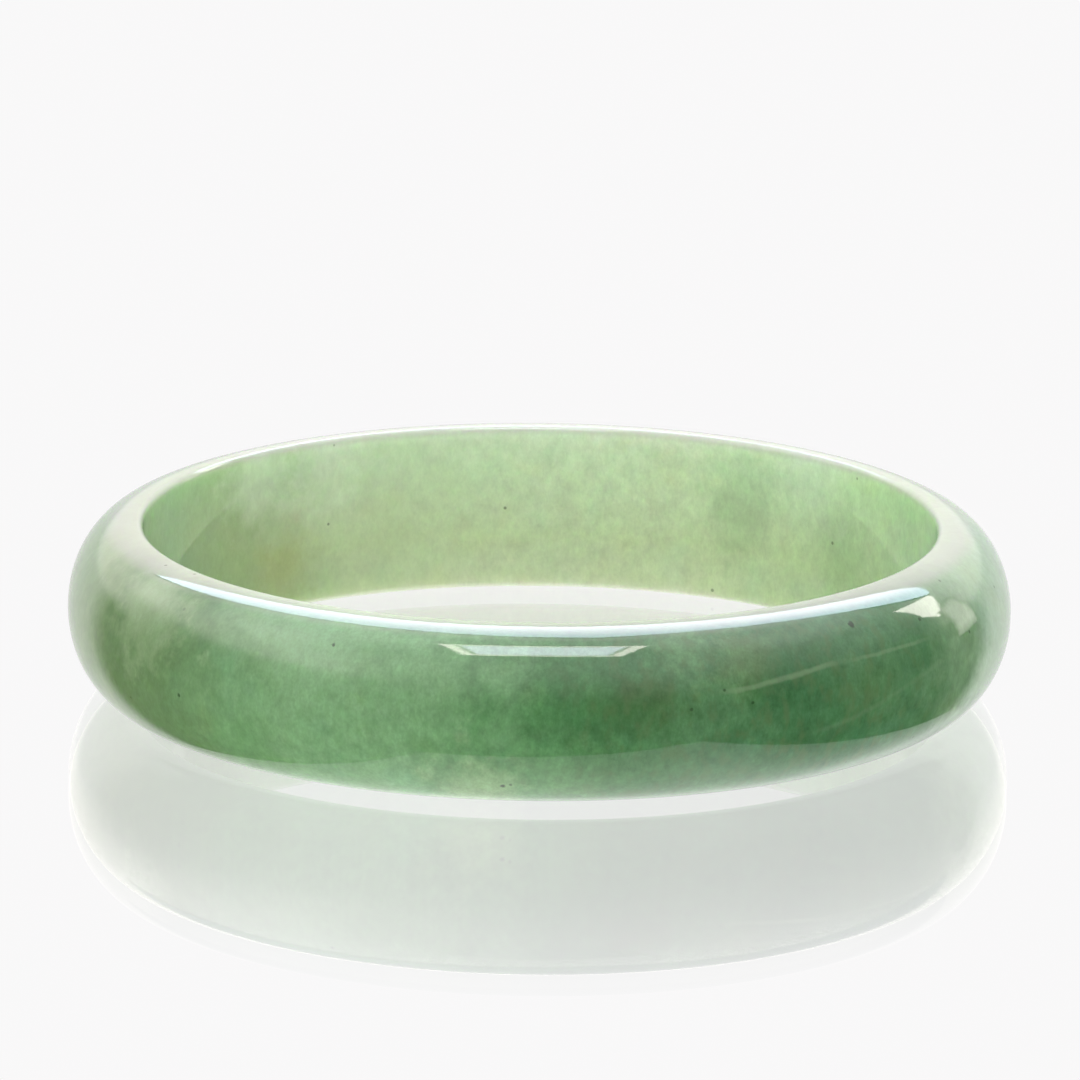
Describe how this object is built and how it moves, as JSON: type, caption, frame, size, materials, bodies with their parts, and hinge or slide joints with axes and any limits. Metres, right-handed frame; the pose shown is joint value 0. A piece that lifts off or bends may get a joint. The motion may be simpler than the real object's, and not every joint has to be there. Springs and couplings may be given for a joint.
{
  "type": "bangle bracelet",
  "caption": "Closed polished jade bangle with a straight inner wall and a domed outside, worn by sliding it over the hand.",
  "frame": {"origin": "on the ring's axis, in the plane that the bangle rests on", "axes": "+Z along the ring's axis, upwards as it lies; +X and +Y are any two directions across the ring"},
  "size_m": [0.069, 0.069, 0.0127],
  "materials": {
    "jade": "polished"
  },
  "bodies": {
    "root": {"jade_ring": "jade"}
  },
  "joints": []
}
